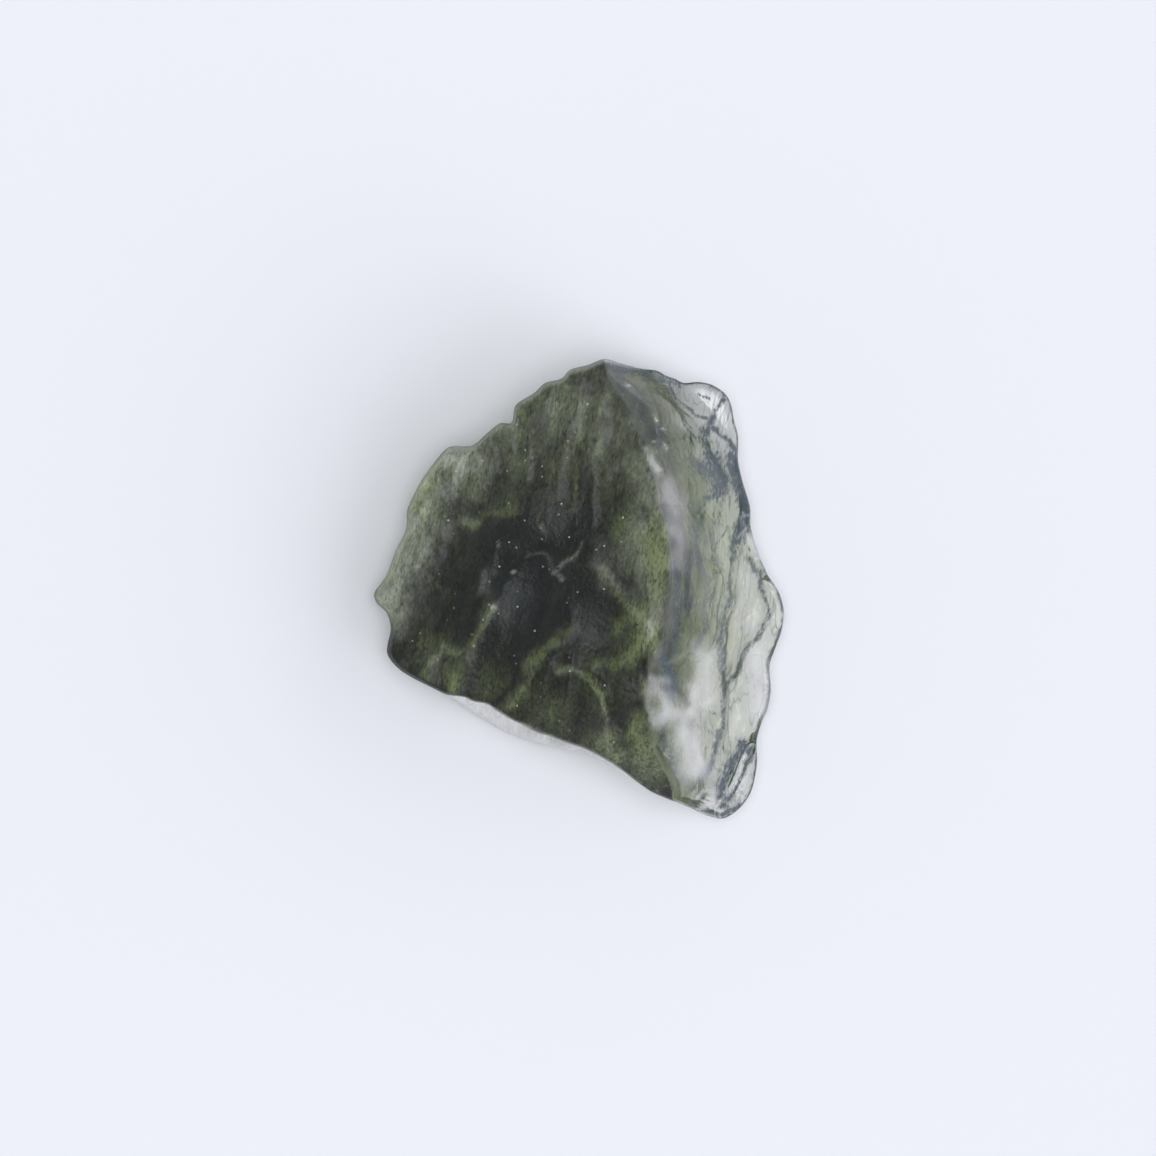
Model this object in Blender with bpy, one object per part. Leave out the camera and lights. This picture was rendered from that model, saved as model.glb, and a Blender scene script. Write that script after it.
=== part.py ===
# Raw moldavite: one piece of olive-green natural glass, seen from above with north at +Y.
# The western two thirds are thick, dark and etched into gutters and bowls. East of a bent
# ridge a fresh, hollow fracture falls to a thin, clear flange. The south-west side is a steep
# cut above a low shelf, and the piece rests on a small flat spot.
# Lengths are in millimetres until the mesh is made. +Z is up and the rest spot is at Z = 0.

import bmesh
import bpy
import numpy as np

MM = 0.001

LENGTH = 18.0            # along Y
WIDTH = 16.1             # along X
RIDGE_HEIGHT = 6.8       # highest line above the rest spot
FLANGE_TOP = 1.6         # level that the fracture face falls to
GRID_CELLS = 150         # cells across each of the two faces before they are simplified
TRIANGLES = 8600

# Widest outline as seen from above, clockwise from the north peak.
OUTLINE = [
    (0.98, 9.00), (1.61, 8.84), (2.39, 8.65), (3.02, 8.57), (3.41, 8.37), (3.76, 8.25), (4.12, 8.10),
    (4.67, 8.14), (5.22, 8.02), (5.73, 7.67), (5.96, 7.24), (6.08, 6.61), (6.24, 5.98), (6.24, 5.08),
    (6.43, 4.22), (6.71, 3.27), (6.75, 2.41), (7.02, 1.51), (7.37, 0.65), (7.84, -0.10), (8.04, -0.80),
    (7.96, -1.59), (7.69, -2.37), (7.49, -3.00), (7.53, -3.94), (7.41, -4.69), (7.18, -5.20),
    (6.98, -5.94), (6.98, -6.88), (6.78, -7.86), (6.39, -8.49), (5.92, -8.88), (5.53, -9.00),
    (4.94, -8.84), (4.27, -8.53), (3.49, -8.22), (2.78, -7.90), (1.92, -7.31), (1.06, -6.80),
    (0.43, -6.53), (-0.16, -6.37), (-0.82, -6.22), (-1.92, -5.98), (-3.10, -5.51), (-4.27, -4.80),
    (-5.06, -4.24), (-5.66, -3.92), (-6.50, -3.50), (-7.14, -3.08), (-7.53, -2.57), (-7.53, -2.14),
    (-7.41, -1.51), (-7.57, -0.92), (-7.96, -0.53), (-8.04, -0.10), (-7.61, 0.49), (-7.22, 1.51),
    (-6.82, 2.33), (-6.75, 3.08), (-6.51, 3.67), (-6.12, 4.37), (-5.53, 5.16), (-5.06, 5.59),
    (-4.20, 5.63), (-3.61, 6.10), (-3.10, 6.49), (-2.63, 6.53), (-2.47, 7.20), (-1.76, 7.67),
    (-1.33, 8.06), (-0.71, 8.22), (-0.35, 8.57), (0.35, 8.76),
]

# Around the outline: bearing in degrees from east, height of the outline, width of the
# rounding above it, width of the rounding below it, and width of the low shelf.
RIM = [
    (0, 1.3, 0.30, 0.50, 0.00),
    (30, 1.4, 0.30, 0.50, 0.00),
    (58, 1.9, 0.35, 0.70, 0.00),
    (75, 2.8, 0.40, 1.00, 0.00),
    (90, 3.9, 0.40, 1.20, 0.00),
    (110, 3.6, 0.45, 1.40, 0.00),
    (140, 2.5, 0.55, 1.40, 0.00),
    (165, 1.7, 0.60, 1.00, 0.00),
    (185, 1.4, 0.55, 0.90, 0.00),
    (202, 1.5, 0.35, 0.90, 0.00),
    (217, 1.3, 0.30, 0.80, 0.00),
    (225, 0.7, 0.30, 0.40, 0.38),
    (232, 0.5, 0.30, 0.40, 0.62),
    (245, 0.5, 0.30, 0.40, 0.55),
    (257, 0.7, 0.30, 0.50, 0.34),
    (268, 1.4, 0.30, 0.60, 0.08),
    (280, 1.9, 0.30, 0.70, 0.00),
    (290, 1.9, 0.30, 0.70, 0.00),
    (303, 1.6, 0.35, 0.60, 0.00),
    (330, 1.3, 0.30, 0.50, 0.00),
]

# The ridge, as X against Y from south to north.
RIDGE = [
    (-9.2, 4.1), (-8.1, 3.65), (-5.7, 2.85), (-4.1, 2.55), (-3.1, 2.7), (-1.6, 3.3), (0.4, 3.55),
    (1.9, 3.45), (3.5, 3.05), (5.4, 2.6), (6.5, 2.05), (8.6, 1.0), (9.4, 0.7),
]

# Troughs in the upper face: start, end, half width, depth.
TROUGHS = [
    ((-1.35, 0.60), (-4.25, -4.95), 1.15, 0.26),
    ((0.35, -4.10), (-0.25, -6.30), 0.80, 0.34),
    ((0.80, 0.05), (1.55, -1.90), 1.50, 0.24),
    ((-5.15, -3.10), (-5.45, -4.30), 0.70, 0.26),
    ((-3.50, 0.45), (-3.55, -0.10), 0.50, 0.15),
    ((-2.65, 1.45), (-2.90, 0.75), 0.55, 0.15),
    ((1.70, -5.20), (2.60, -4.50), 0.45, 0.28),
    ((-5.45, 1.15), (-6.55, -2.00), 0.80, 0.22),
    ((-5.85, 4.30), (-7.00, 0.75), 0.50, 0.16),
    ((-4.25, 4.70), (-4.85, 1.55), 0.60, 0.17),
    ((-3.10, 5.45), (-3.00, 4.70), 0.50, 0.20),
    ((-2.00, 6.85), (-2.30, 5.45), 0.40, 0.15),
    ((-0.75, 7.60), (-1.70, 4.30), 0.45, 0.17),
    ((0.50, 8.00), (-0.50, 3.50), 0.45, 0.17),
    ((1.35, 7.45), (0.80, 2.70), 0.40, 0.15),
    ((-0.65, -2.90), (-1.35, -5.20), 0.45, 0.17),
    ((5.00, -8.10), (5.20, -8.25), 0.45, 0.16),
    ((6.70, -6.20), (5.85, -7.85), 0.35, 0.25),
]

# Furrows under the flange: bent line, half width, depth.
FURROWS = [
    ([(3.80, 7.98), (3.96, 7.43), (4.35, 7.12), (4.98, 6.80)], 0.20, 0.20),
    ([(4.98, 5.71), (5.22, 5.00), (5.69, 4.37), (5.61, 3.90), (5.06, 3.59)], 0.38, 0.30),
    ([(6.31, 3.51), (6.16, 2.33), (6.08, 1.31), (5.84, 0.37), (5.92, -0.25), (5.69, -0.96),
      (5.45, -1.98), (5.53, -2.92), (5.76, -3.71)], 0.36, 0.34),
    ([(5.06, 3.51), (4.59, 2.33), (4.59, 0.96), (4.98, 0.37), (4.90, -0.65), (4.98, -1.43),
      (4.59, -2.22), (4.27, -2.53)], 0.36, 0.30),
    ([(6.63, 1.75), (7.02, 0.76), (7.25, -0.41), (7.25, -1.27), (6.94, -1.98), (6.47, -2.37),
      (6.24, -3.16), (5.88, -3.94), (5.76, -5.27), (5.53, -6.37)], 0.46, 0.38),
    ([(6.78, -5.98), (6.39, -6.37), (6.04, -7.27), (5.76, -7.86)], 0.30, 0.28),
]

# Bowls and gutters etched in the lower face: start, end, half width, depth.
LOWER_TROUGHS = [
    ((2.6, 0.6), (4.3, 1.6), 1.00, 0.34),
    ((2.9, -2.6), (4.2, -4.2), 0.95, 0.32),
    ((2.4, 4.2), (2.9, 6.3), 0.90, 0.32),
    ((-0.2, 4.2), (0.4, 6.6), 0.85, 0.30),
    ((-3.0, 4.4), (-2.6, 5.4), 0.80, 0.26),
    ((-5.4, 2.6), (-6.0, 3.2), 0.80, 0.26),
    ((-6.0, 0.4), (-7.0, 0.1), 0.75, 0.24),
    ((-5.6, -1.9), (-6.4, -2.5), 0.75, 0.24),
    ((1.2, -4.0), (1.9, -6.0), 0.85, 0.30),
    ((4.0, -6.0), (4.9, -7.6), 0.70, 0.26),
    ((1.3, -1.6), (2.0, -1.9), 0.70, 0.22),
    ((1.4, 2.4), (2.0, 2.9), 0.60, 0.20),
]

REST_SPOT = {"x": -0.4, "y": 0.3, "half_x": 2.8, "half_y": 2.8}

# Green glass: base colour and roughness of its etched skin.
GLASS_COLOUR = (0.16, 0.20, 0.08, 1.0)
GLASS_ROUGHNESS = 0.22
GLASS_IOR = 1.49


# Eases from 0 to 1 as t runs from 0 to 1.
def ease(t):
    t = np.clip(t, 0.0, 1.0)
    return t * t * (3.0 - 2.0 * t)


# Value at each query from sorted knots, eased between neighbours.
def eased_table(query, knots, values):
    left = np.clip(np.searchsorted(knots, query) - 1, 0, len(knots) - 2)
    share = ease((query - knots[left]) / (knots[left + 1] - knots[left]))
    return values[left] * (1.0 - share) + values[left + 1] * share


# Column of RIM at a bearing in degrees, closed at 360.
def around_rim(bearing, column):
    knots = np.array([row[0] for row in RIM], float)
    values = np.array([row[column] for row in RIM], float)
    knots = np.concatenate([knots - 360.0, knots, knots + 360.0])
    return eased_table(bearing, knots, np.tile(values, 3))


# Smooth closed curve through the outline, turned counterclockwise, starting due east.
def outline_curve(steps=16):
    p1 = np.array(OUTLINE[::-1])
    p0, p2, p3 = (np.roll(p1, shift, 0) for shift in (1, -1, -2))
    t = np.linspace(0.0, 1.0, steps, endpoint=False)[:, None, None]
    curve = p1 + 0.5 * t * (p2 - p0 + t * (2 * p0 - 5 * p1 + 4 * p2 - p3 + t * (3 * (p1 - p2) + p3 - p0)))
    curve = curve.transpose(1, 0, 2).reshape(-1, 2)
    centre = (curve.min(0) + curve.max(0)) / 2.0
    curve = (curve - centre) * np.array([WIDTH, LENGTH]) / np.ptp(curve, axis=0)
    start = int(np.argmin(np.abs(np.arctan2(curve[:, 1], curve[:, 0]))))
    curve = np.roll(curve, -start, 0)
    return np.vstack([curve, curve[:1]])


# Points of the outline at shares 0 to 1 of its length.
def outline_at(share):
    curve = outline_curve()
    run = np.concatenate([[0.0], np.cumsum(np.hypot(*np.diff(curve, axis=0).T))])
    run /= run[-1]
    return np.interp(share, run, curve[:, 0]), np.interp(share, run, curve[:, 1])


# Distance of points from the straight piece between a and b.
def from_segment(x, y, a, b):
    along = np.array(b) - np.array(a)
    share = ((x - a[0]) * along[0] + (y - a[1]) * along[1]) / (along @ along)
    share = np.clip(share, 0.0, 1.0)
    return np.hypot(x - a[0] - share * along[0], y - a[1] - share * along[1])


# Coordinates pushed about by a few slow waves, so that cut shapes aren't regular.
def wander(x, y, amount):
    shift_x = 0.16 * np.sin(1.5 * y + 0.6 * x) + 0.07 * np.sin(4.1 * y - 2.3 * x + 1.0)
    shift_y = 0.16 * np.sin(1.3 * x - 0.8 * y + 2.0) + 0.07 * np.sin(3.7 * x + 2.9 * y)
    return x + amount * shift_x, y + amount * shift_y


# Round-ended trough with a low raised lip, as a change of height.
def trough(x, y, start, end, half, depth):
    q = from_segment(x, y, start, end) / half
    bowl = np.clip(1.0 - q ** 2.5, 0.0, 1.0) ** 1.5
    lip = np.exp(-((q - 1.08) / 0.16) ** 2)
    return depth * (0.15 * lip - bowl)


# Sharp furrow along a bent line, as a change of height.
def furrow(x, y, line, half, depth):
    gap = np.min([from_segment(x, y, a, b) for a, b in zip(line, line[1:])], axis=0)
    return depth * np.clip(1.0 - gap / half, 0.0, 1.0) ** 1.2


# Upper face: a gentle fall west of the ridge, and a hollow fall to the flange east of it. The
# ridge itself drops towards both ends, more so in the south.
def upper_height(x, y):
    ridge_y, ridge_x = np.array(RIDGE).T
    across = x - eased_table(y, ridge_y, ridge_x)
    west = np.maximum(-across, 0.0)
    east = np.maximum(across, 0.0)
    crest = RIDGE_HEIGHT - 0.014 * (y - 0.8) ** 2 - 0.07 * np.maximum(-3.0 - y, 0.0) ** 2
    z = crest - 0.25 * west - 0.012 * west ** 2
    z -= (crest - FLANGE_TOP) * (1.0 - np.exp(-east / 1.5)) + 0.03 * east
    z += ease(west) * (0.10 * np.sin(0.9 * x + 1.3 * y) + 0.07 * np.sin(1.7 * x - 0.8 * y + 1.0))
    z -= 0.05 * ease(east / 0.4) * np.sin(1.9 * y + 0.8 * x)
    bent_x, bent_y = wander(x, y, 0.6)
    for cut in TROUGHS:
        z += trough(bent_x, bent_y, *cut)
    return z


# Lower face: a slight belly below zero at the rest spot, then rising past its edge.
def lower_height(x, y):
    dx = x - REST_SPOT["x"]
    dy = y - REST_SPOT["y"]
    reach = np.maximum(np.hypot(dx, dy), 1e-6)
    bearing = np.arctan2(dy, dx)
    uneven = 1.0 + 0.07 * np.sin(3.0 * bearing + 0.6) + 0.05 * np.sin(5.0 * bearing + 2.0)
    spot = reach * uneven / np.maximum(np.hypot(dx / REST_SPOT["half_x"], dy / REST_SPOT["half_y"]), 1e-6)
    past = np.maximum(reach - spot, 0.0)
    east = dx / reach
    north = dy / reach
    slope = 0.15 + 0.30 * np.maximum(north, 0.0) ** 2 + 0.05 * np.maximum(-east, 0.0)
    z = slope * past
    carve = 0.10 * np.sin(1.4 * x + 0.9 * y + 0.5) + 0.07 * np.sin(1.1 * x - 1.8 * y)
    bent_x, bent_y = wander(x, y, 1.0)
    for cut in LOWER_TROUGHS:
        carve -= trough(bent_x, bent_y, *cut)
    for line, half, depth in FURROWS:
        carve += furrow(x, y, line, half, depth)
    belly = 0.35 * np.minimum((reach / spot) ** 2 - 1.0, 0.0)
    return np.where(past > 0.0, z + np.maximum(carve, -0.6 * z) * ease(past), belly)


# Grid of one face: a square wrapped on the outline, with closer rows near the edge.
def face_grid(upper):
    side = np.linspace(-1.0, 1.0, GRID_CELLS + 1) + 1e-9
    u, v = np.meshgrid(side, side, indexing="ij")
    wide = np.abs(u) >= np.abs(v)
    turn_u = np.pi / 4.0 * v / u + np.where(u < 0.0, np.pi, 0.0)
    turn_v = np.pi / 2.0 - np.pi / 4.0 * u / v + np.where(v < 0.0, np.pi, 0.0)
    turn = np.where(wide, turn_u, turn_v) % (2.0 * np.pi)
    edge_x, edge_y = outline_at(turn / (2.0 * np.pi))
    r = np.minimum(np.maximum(np.abs(u), np.abs(v)), 1.0)
    rho = 0.4 * r + 0.6 * np.sin(np.pi / 2.0 * r)
    x = rho * edge_x
    y = rho * edge_y
    inside = (1.0 - rho) * np.hypot(edge_x, edge_y)
    bearing = np.degrees(np.arctan2(edge_y, edge_x)) % 360.0
    rim = around_rim(bearing, 1)
    if upper:
        shelf = around_rim(bearing, 4)
        face = np.maximum(upper_height(x, y), rim + 0.2)
        q = np.clip((inside - shelf) / around_rim(bearing, 2), 0.0, 1.0)
        z = rim + (face - rim) * np.sqrt(1.0 - (1.0 - q) ** 2)
        step = rim + 0.35 * np.sqrt(1.0 - (1.0 - np.clip(inside / 0.25, 0.0, 1.0)) ** 2)
        z = np.where((shelf > 0.02) & (inside < shelf + 0.4), np.maximum(z, step), z)
    else:
        face = np.minimum(lower_height(x, y), rim - 0.15)
        q = np.clip(inside / around_rim(bearing, 3), 0.0, 1.0)
        z = rim + (face - rim) * np.sqrt(1.0 - (1.0 - q) ** 2)
    return np.stack([x, y, z], -1)


# Vertices and quads of the two faces, joined along the outline.
def closed_shell():
    count = GRID_CELLS + 1
    upper = np.arange(count * count).reshape(count, count)
    rim = np.ones((count, count), bool)
    rim[1:-1, 1:-1] = False
    lower = np.where(rim, upper, 0)
    lower[~rim] = count * count + np.arange((~rim).sum())
    points = np.vstack([face_grid(True).reshape(-1, 3), face_grid(False)[~rim]])
    faces = []
    for index, order in ((upper, (0, 1, 2, 3)), (lower, (3, 2, 1, 0))):
        corners = (index[:-1, :-1], index[1:, :-1], index[1:, 1:], index[:-1, 1:])
        faces.append(np.stack([corners[k].ravel() for k in order], -1))
    return points, np.vstack(faces)


# Glass with the stone's own colour and the slight roughness of etched skin.
def glass_material():
    material = bpy.data.materials.new("moldavite_glass")
    material.use_nodes = True
    shader = material.node_tree.nodes["Principled BSDF"]
    shader.inputs["Base Color"].default_value = GLASS_COLOUR
    shader.inputs["Roughness"].default_value = GLASS_ROUGHNESS
    shader.inputs["Metallic"].default_value = 0.0
    shader.inputs["IOR"].default_value = GLASS_IOR
    shader.inputs["Transmission Weight"].default_value = 1.0
    return material


# Box whose top is the plane of the rest spot.
def rest_cutter():
    mesh = bpy.data.meshes.new("rest_cutter")
    shape = bmesh.new()
    bmesh.ops.create_cube(shape, size=1.0)
    bmesh.ops.scale(shape, vec=(12.0 * MM, 12.0 * MM, 2.0 * MM), verts=shape.verts)
    bmesh.ops.translate(shape, vec=(0.0, 0.0, -1.0 * MM), verts=shape.verts)
    shape.to_mesh(mesh)
    shape.free()
    cutter = bpy.data.objects.new("rest_cutter", mesh)
    cutter.hide_render = True
    cutter.display_type = "WIRE"
    bpy.context.scene.collection.objects.link(cutter)
    return cutter


# The stone, simplified to flat facets and cut flat where it rests.
def make_stone():
    points, faces = closed_shell()
    mesh = bpy.data.meshes.new("moldavite")
    mesh.from_pydata((points * MM).tolist(), [], faces.tolist())
    mesh.materials.append(glass_material())
    stone = bpy.data.objects.new("moldavite", mesh)
    bpy.context.scene.collection.objects.link(stone)
    simplify = stone.modifiers.new("facets", "DECIMATE")
    simplify.ratio = TRIANGLES / (2.0 * len(faces))
    simplify.use_collapse_triangulate = True
    flat = stone.modifiers.new("rest_spot", "BOOLEAN")
    flat.operation = "DIFFERENCE"
    flat.solver = "EXACT"
    flat.object = rest_cutter()
    return stone


for old in list(bpy.data.objects):
    bpy.data.objects.remove(old, do_unlink=True)
make_stone()
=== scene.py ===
import math

import bpy
import numpy as np
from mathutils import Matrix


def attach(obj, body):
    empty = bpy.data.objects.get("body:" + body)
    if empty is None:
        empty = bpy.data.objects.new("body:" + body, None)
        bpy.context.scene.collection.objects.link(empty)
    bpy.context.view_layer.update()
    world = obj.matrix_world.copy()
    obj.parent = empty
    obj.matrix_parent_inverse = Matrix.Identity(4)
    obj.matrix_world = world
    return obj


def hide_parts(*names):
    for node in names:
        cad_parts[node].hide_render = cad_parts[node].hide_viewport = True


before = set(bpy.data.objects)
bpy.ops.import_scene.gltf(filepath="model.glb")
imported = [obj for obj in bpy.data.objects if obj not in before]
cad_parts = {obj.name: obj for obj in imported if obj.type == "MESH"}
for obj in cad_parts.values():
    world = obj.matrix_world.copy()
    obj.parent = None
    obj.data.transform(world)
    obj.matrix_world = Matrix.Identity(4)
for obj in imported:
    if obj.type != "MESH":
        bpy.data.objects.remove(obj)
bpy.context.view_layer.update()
mm = 0.001

# How the photo's pixels lie on the stone; the marks below are given in those pixels.
photoFrame = {
    "pixels": 1156,
    "pixelSize": 18.0 / 459.0,          # millimetres of the stone per pixel
    "stoneCentre": (579.0, 589.5),      # pixel of the stone's centre
}

# The stone's form, in millimetres, as in its solid: +Y is the photo's up, +X its right.
stoneShape = {
    "length": 18.0,
    "width": 16.1,
    "ridgeHeight": 6.8,
    "flangeTop": 1.6,
    "cells": 220,            # cells across each of the two faces
    "outline": [
        (0.98, 9.00), (1.61, 8.84), (2.39, 8.65), (3.02, 8.57), (3.41, 8.37), (3.76, 8.25), (4.12, 8.10),
        (4.67, 8.14), (5.22, 8.02), (5.73, 7.67), (5.96, 7.24), (6.08, 6.61), (6.24, 5.98), (6.24, 5.08),
        (6.43, 4.22), (6.71, 3.27), (6.75, 2.41), (7.02, 1.51), (7.37, 0.65), (7.84, -0.10), (8.04, -0.80),
        (7.96, -1.59), (7.69, -2.37), (7.49, -3.00), (7.53, -3.94), (7.41, -4.69), (7.18, -5.20),
        (6.98, -5.94), (6.98, -6.88), (6.78, -7.86), (6.39, -8.49), (5.92, -8.88), (5.53, -9.00),
        (4.94, -8.84), (4.27, -8.53), (3.49, -8.22), (2.78, -7.90), (1.92, -7.31), (1.06, -6.80),
        (0.43, -6.53), (-0.16, -6.37), (-0.82, -6.22), (-1.92, -5.98), (-3.10, -5.51), (-4.27, -4.80),
        (-5.06, -4.24), (-5.66, -3.92), (-6.50, -3.50), (-7.14, -3.08), (-7.53, -2.57), (-7.53, -2.14),
        (-7.41, -1.51), (-7.57, -0.92), (-7.96, -0.53), (-8.04, -0.10), (-7.61, 0.49), (-7.22, 1.51),
        (-6.82, 2.33), (-6.75, 3.08), (-6.51, 3.67), (-6.12, 4.37), (-5.53, 5.16), (-5.06, 5.59),
        (-4.20, 5.63), (-3.61, 6.10), (-3.10, 6.49), (-2.63, 6.53), (-2.47, 7.20), (-1.76, 7.67),
        (-1.33, 8.06), (-0.71, 8.22), (-0.35, 8.57), (0.35, 8.76),
    ],
    # bearing from east, outline height, rounding above it, rounding below it, low shelf
    "rim": [
        (0, 1.3, 0.30, 0.50, 0.00), (30, 1.4, 0.30, 0.50, 0.00), (58, 1.9, 0.35, 0.70, 0.00),
        (75, 2.8, 0.35, 1.00, 0.00), (90, 3.9, 0.30, 1.20, 0.00), (110, 3.6, 0.32, 1.40, 0.00),
        (140, 2.5, 0.45, 1.40, 0.00), (165, 1.7, 0.50, 1.00, 0.00), (185, 1.4, 0.45, 0.90, 0.00),
        (202, 1.5, 0.22, 0.90, 0.00), (217, 1.3, 0.15, 0.80, 0.00),
        (225, 0.7, 0.12, 0.40, 0.38), (232, 0.5, 0.12, 0.40, 0.62), (245, 0.5, 0.12, 0.40, 0.55),
        (257, 0.7, 0.12, 0.50, 0.40), (268, 1.4, 0.14, 0.60, 0.26), (280, 1.9, 0.16, 0.70, 0.14),
        (290, 1.9, 0.16, 0.70, 0.00), (303, 1.6, 0.22, 0.60, 0.00), (330, 1.3, 0.30, 0.50, 0.00),
    ],
    "ridge": [
        (-9.2, 4.1), (-8.1, 3.65), (-5.7, 2.85), (-4.1, 2.55), (-3.1, 2.7), (-1.6, 3.3), (0.4, 3.55),
        (1.9, 3.45), (3.5, 3.05), (5.4, 2.6), (6.5, 2.05), (8.6, 1.0), (9.4, 0.7),
    ],
    # start, end, half width, depth
    "troughs": [
        ((-1.35, 0.60), (-4.25, -4.95), 1.15, 0.12), ((0.35, -4.10), (-0.25, -6.30), 0.80, 0.20),
        ((0.80, 0.05), (1.55, -1.90), 1.50, 0.10), ((-5.15, -3.10), (-5.45, -4.30), 0.70, 0.16),
        ((-3.50, 0.45), (-3.55, -0.10), 0.50, 0.10), ((-2.65, 1.45), (-2.90, 0.75), 0.55, 0.10),
        ((1.70, -5.20), (2.60, -4.50), 0.45, 0.24), ((-5.45, 1.15), (-6.55, -2.00), 0.80, 0.12),
        ((-5.85, 4.30), (-7.00, 0.75), 0.50, 0.10), ((-4.25, 4.70), (-4.85, 1.55), 0.60, 0.10),
        ((-3.10, 5.45), (-3.00, 4.70), 0.50, 0.14), ((-2.00, 6.85), (-2.30, 5.45), 0.40, 0.10),
        ((-0.75, 7.60), (-1.70, 4.30), 0.45, 0.09), ((0.50, 8.00), (-0.50, 3.50), 0.45, 0.08),
        ((1.35, 7.45), (0.80, 2.70), 0.40, 0.08), ((-0.65, -2.90), (-1.35, -5.20), 0.45, 0.12),
        ((5.00, -8.10), (5.20, -8.25), 0.45, 0.16), ((6.70, -6.20), (5.85, -7.85), 0.35, 0.25),
    ],
    "lowerTroughs": [
        ((2.6, 0.6), (4.3, 1.6), 1.00, 0.34), ((2.9, -2.6), (4.2, -4.2), 0.95, 0.32),
        ((2.4, 4.2), (2.9, 6.3), 0.90, 0.32), ((-0.2, 4.2), (0.4, 6.6), 0.85, 0.30),
        ((-3.0, 4.4), (-2.6, 5.4), 0.80, 0.26), ((-5.4, 2.6), (-6.0, 3.2), 0.80, 0.26),
        ((-6.0, 0.4), (-7.0, 0.1), 0.75, 0.24), ((-5.6, -1.9), (-6.4, -2.5), 0.75, 0.24),
        ((1.2, -4.0), (1.9, -6.0), 0.85, 0.30), ((4.0, -6.0), (4.9, -7.6), 0.70, 0.26),
        ((1.3, -1.6), (2.0, -1.9), 0.70, 0.22), ((1.4, 2.4), (2.0, 2.9), 0.60, 0.20),
    ],
    "restSpot": {"x": -0.4, "y": 0.3, "halfX": 2.8, "halfY": 2.8},
}

# Fine relief and rims that only the visual model carries, in millimetres, with the skin's clearness, the
# painted sheen behind the rim and the painted shade along the outline.
skinRelief = {
    "cellSize": 0.62,        # etched bowls, side to side
    "cellStretch": 1.7,      # along the grain
    "cellDepth": 0.045,
    "grainBearing": 255.0,   # degrees from east
    "markWarp": 0.09,        # how far the marks below stray from their lines
    "plainClear": 0.13,      # clearness of plain etched skin, partly painted shade of the thick body
    "blotch": 0.42,          # how much it varies from place to place
    "rimShade": 0.12,         # width of the painted shade along the outline
    "rimShadeStrength": 0.8,
    "rimSheen": 0.24,         # width of the painted sheen behind it, on the north and west
    "rimSheenClear": 0.75,
    "rimSheenHaze": 0.14,
    "shelfHaze": 0.80,
    "stepRise": 0.35,        # rounded step on the low shelf
    "stepReach": 0.25,
    "facetShift": 0.95,      # how far the skin crosses the crest at the north facet
    "facetY": 6.7,
    "facetSpread": 1.3,
    "lowerEtched": 0.6,      # how etched the lower face is, west of the flange
    "flangeStart": 3.0,
}
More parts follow.
